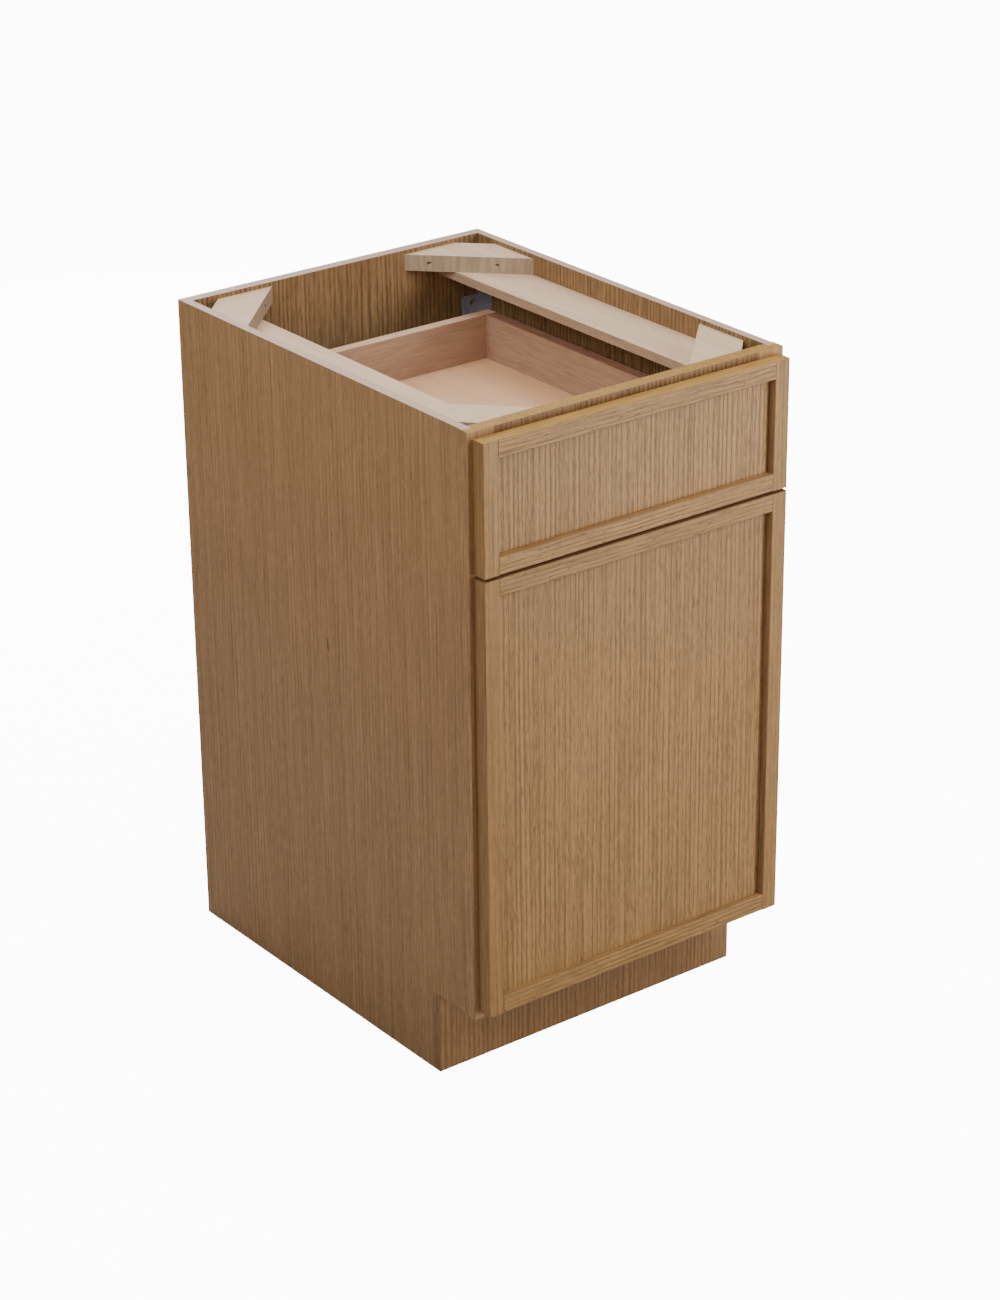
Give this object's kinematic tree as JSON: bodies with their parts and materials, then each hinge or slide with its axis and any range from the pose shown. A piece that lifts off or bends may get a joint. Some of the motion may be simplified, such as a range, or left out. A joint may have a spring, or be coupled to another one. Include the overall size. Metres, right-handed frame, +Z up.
{
  "type": "kitchen base cabinet, one drawer over one door",
  "caption": "Face-frame kitchen base cabinet in oak with a slim shaker drawer over a slim shaker door, open top with corner blocks, toe space",
  "frame": {"origin": "middle of the footprint, on the floor", "axes": "+Z up, -Y out of the door and drawer, +X to the right seen from the front"},
  "size_m": [0.4762, 0.6302, 0.8763],
  "materials": {
    "honey_oak": "satin clear lacquer, fine straight grain",
    "birch_ply": "plain sanded plywood and softwood",
    "drawer_birch": "satin clear lacquer",
    "zinc_steel": "zinc-plated pressed steel",
    "grey_nylon": "moulded nylon",
    "clear_bumper": "soft clear bumper"
  },
  "bodies": {
    "carcass": {"side_left": "honey_oak", "side_right": "honey_oak", "back_panel": "honey_oak", "floor_panel": "honey_oak", "toe_board": "honey_oak", "stile_left": "honey_oak", "stile_right": "honey_oak", "top_rail": "honey_oak", "middle_rail": "honey_oak", "bottom_rail": "honey_oak", "corner_block_front_left": "birch_ply", "corner_block_front_right": "birch_ply", "corner_block_back_left": "birch_ply", "corner_block_back_right": "birch_ply", "top_strip_left": "birch_ply", "top_strip_right": "birch_ply", "shelf": "honey_oak", "shelf_pins": "zinc_steel", "rear_bracket_left": "zinc_steel", "rear_bracket_right": "zinc_steel", "slide_base_left": "zinc_steel", "slide_base_right": "zinc_steel", "hinge_arm_upper": "zinc_steel", "hinge_arm_lower": "zinc_steel", "hinge_arm_pins": "zinc_steel", "block_screws": "zinc_steel", "slide_screws": "zinc_steel", "hinge_arm_screws": "zinc_steel"},
    "drawer": {"drawer_front_stile_left": "honey_oak", "drawer_front_stile_right": "honey_oak", "drawer_front_rail_top": "honey_oak", "drawer_front_rail_bottom": "honey_oak", "drawer_front_panel": "honey_oak", "drawer_box_front": "drawer_birch", "drawer_box_back": "drawer_birch", "drawer_side_left": "drawer_birch", "drawer_side_right": "drawer_birch", "drawer_bottom": "birch_ply", "drawer_runner_left": "zinc_steel", "drawer_runner_right": "zinc_steel", "locking_clip_left": "grey_nylon", "locking_clip_right": "grey_nylon", "drawer_front_screws": "zinc_steel", "drawer_bumpers": "clear_bumper"},
    "door": {"door_stile_left": "honey_oak", "door_stile_right": "honey_oak", "door_rail_top": "honey_oak", "door_rail_bottom": "honey_oak", "door_panel": "honey_oak", "hinge_cup_upper": "zinc_steel", "hinge_cup_lower": "zinc_steel", "hinge_cup_pins": "zinc_steel", "door_bumpers": "clear_bumper"},
    "hinge_links": {"hinge_links": "zinc_steel"},
    "slide_mid_left": {"slide_mid_left": "zinc_steel", "slide_rollers_left": "grey_nylon"},
    "slide_mid_right": {"slide_mid_right": "zinc_steel", "slide_rollers_right": "grey_nylon"},
    "clip_lever_left": {"clip_lever_left": "grey_nylon"},
    "clip_lever_right": {"clip_lever_right": "grey_nylon"}
  },
  "joints": [
    {"name": "drawer_slide", "type": "slide", "parent": "carcass", "child": "drawer", "axis": [0, -1, 0], "range_m": [0, 0.508]},
    {"name": "slide_mid_left_travel", "type": "slide", "parent": "carcass", "child": "slide_mid_left", "axis": [0, -1, 0], "range_m": [0, 0.254]},
    {"name": "slide_mid_right_travel", "type": "slide", "parent": "carcass", "child": "slide_mid_right", "axis": [0, -1, 0], "range_m": [0, 0.254]},
    {"name": "clip_lever_left_press", "type": "hinge", "parent": "drawer", "child": "clip_lever_left", "pos_m": [-0.13992, -0.23108, 0.719], "axis": [0, 0, 1], "range_deg": [0, 12], "stiffness_Nm_per_rad": 0.05},
    {"name": "clip_lever_right_press", "type": "hinge", "parent": "drawer", "child": "clip_lever_right", "pos_m": [0.13992, -0.23108, 0.719], "axis": [0, 0, 1], "range_deg": [-12, 0], "stiffness_Nm_per_rad": 0.05},
    {"name": "hinge_link_turn", "type": "hinge", "parent": "carcass", "child": "hinge_links", "pos_m": [0.20403, -0.29947, 0.409], "axis": [0, 0, 1], "range_deg": [-35, 0]},
    {"name": "door_swing", "type": "hinge", "parent": "hinge_links", "child": "door", "pos_m": [0.22228, -0.29968, 0.409], "axis": [0, 0, 1], "range_deg": [0, 140]}
  ],
  "couplings": [
    {"joint": "slide_mid_left_travel", "follows": "drawer_slide", "ratio": 0.5},
    {"joint": "slide_mid_right_travel", "follows": "drawer_slide", "ratio": 0.5},
    {"joint": "hinge_link_turn", "follows": "door_swing", "ratio": -0.25}
  ]
}
